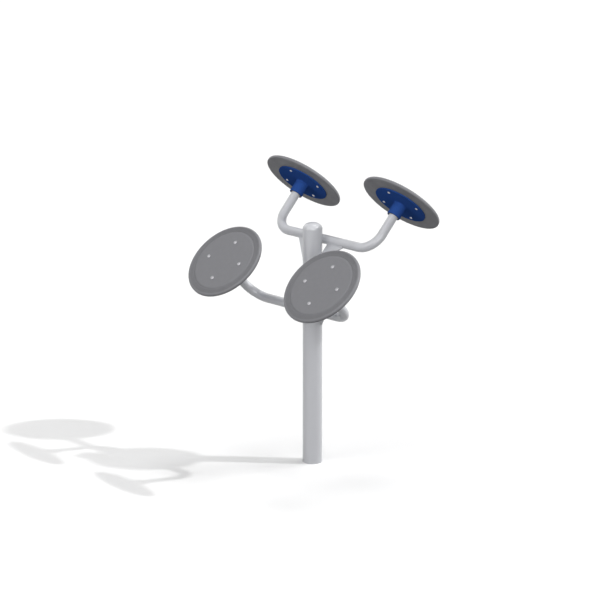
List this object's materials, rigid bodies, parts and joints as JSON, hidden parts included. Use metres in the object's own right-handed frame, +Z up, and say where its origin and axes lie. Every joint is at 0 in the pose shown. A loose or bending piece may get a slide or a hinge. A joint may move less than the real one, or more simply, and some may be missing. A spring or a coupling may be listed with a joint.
{
  "type": "tai chi wheel trainer",
  "caption": "Outdoor exercise post with bent tube bars that carry tilted round hand wheels on bearings, one pair facing each way.",
  "frame": {"origin": "centre of the post's foot, at ground level", "axes": "+Z up along the post; +X along the bars, towards the right-hand wheels; +Y the way the upper pair of wheels faces, while the lower pair faces -Y"},
  "size_m": [1.154, 0.8906, 1.5593],
  "materials": {
    "grey_coat": "grey powder coat, satin",
    "blue_coat": "blue powder coat, satin",
    "grey_plastic": "mid-grey moulded plastic, matte",
    "black_rubber": "black rubber",
    "bright_steel": "bright plated steel",
    "plain_steel": "plain turned steel"
  },
  "bodies": {
    "frame": {"post": "grey_coat", "post_cap": "grey_coat", "upper_bar": "grey_coat", "upper_left_gusset": "grey_coat", "upper_right_gusset": "grey_coat", "lower_bar": "grey_coat", "lower_left_gusset": "grey_coat", "lower_right_gusset": "grey_coat", "upper_left_axle": "plain_steel", "upper_left_bearing_spacer": "plain_steel", "upper_left_axle_nut": "plain_steel", "upper_right_axle": "plain_steel", "upper_right_bearing_spacer": "plain_steel", "upper_right_axle_nut": "plain_steel", "lower_left_axle": "plain_steel", "lower_left_bearing_spacer": "plain_steel", "lower_left_axle_nut": "plain_steel", "lower_right_axle": "plain_steel", "lower_right_bearing_spacer": "plain_steel", "lower_right_axle_nut": "plain_steel"},
    "upper_left_wheel": {"upper_left_disc": "grey_plastic", "upper_left_hub": "blue_coat", "upper_left_hub_seal": "black_rubber", "upper_left_front_bearing": "plain_steel", "upper_left_rear_bearing": "plain_steel", "upper_left_bolt_1": "bright_steel", "upper_left_bolt_2": "bright_steel", "upper_left_bolt_3": "bright_steel", "upper_left_bolt_4": "bright_steel"},
    "upper_right_wheel": {"upper_right_disc": "grey_plastic", "upper_right_hub": "blue_coat", "upper_right_hub_seal": "black_rubber", "upper_right_front_bearing": "plain_steel", "upper_right_rear_bearing": "plain_steel", "upper_right_bolt_1": "bright_steel", "upper_right_bolt_2": "bright_steel", "upper_right_bolt_3": "bright_steel", "upper_right_bolt_4": "bright_steel"},
    "lower_left_wheel": {"lower_left_disc": "grey_plastic", "lower_left_hub": "blue_coat", "lower_left_hub_seal": "black_rubber", "lower_left_front_bearing": "plain_steel", "lower_left_rear_bearing": "plain_steel", "lower_left_bolt_1": "bright_steel", "lower_left_bolt_2": "bright_steel", "lower_left_bolt_3": "bright_steel", "lower_left_bolt_4": "bright_steel"},
    "lower_right_wheel": {"lower_right_disc": "grey_plastic", "lower_right_hub": "blue_coat", "lower_right_hub_seal": "black_rubber", "lower_right_front_bearing": "plain_steel", "lower_right_rear_bearing": "plain_steel", "lower_right_bolt_1": "bright_steel", "lower_right_bolt_2": "bright_steel", "lower_right_bolt_3": "bright_steel", "lower_right_bolt_4": "bright_steel"}
  },
  "joints": [
    {"name": "upper_left_spin", "type": "hinge", "parent": "frame", "child": "upper_left_wheel", "pos_m": [-0.358, 0.29129, 1.41071], "axis": [0, 0.6947, 0.7193], "continuous": true},
    {"name": "upper_right_spin", "type": "hinge", "parent": "frame", "child": "upper_right_wheel", "pos_m": [0.358, 0.29129, 1.41071], "axis": [0, 0.6947, 0.7193], "continuous": true},
    {"name": "lower_left_spin", "type": "hinge", "parent": "frame", "child": "lower_left_wheel", "pos_m": [-0.358, -0.29129, 1.07272], "axis": [0, -0.6947, 0.7193], "continuous": true},
    {"name": "lower_right_spin", "type": "hinge", "parent": "frame", "child": "lower_right_wheel", "pos_m": [0.358, -0.29129, 1.07272], "axis": [0, -0.6947, 0.7193], "continuous": true}
  ]
}
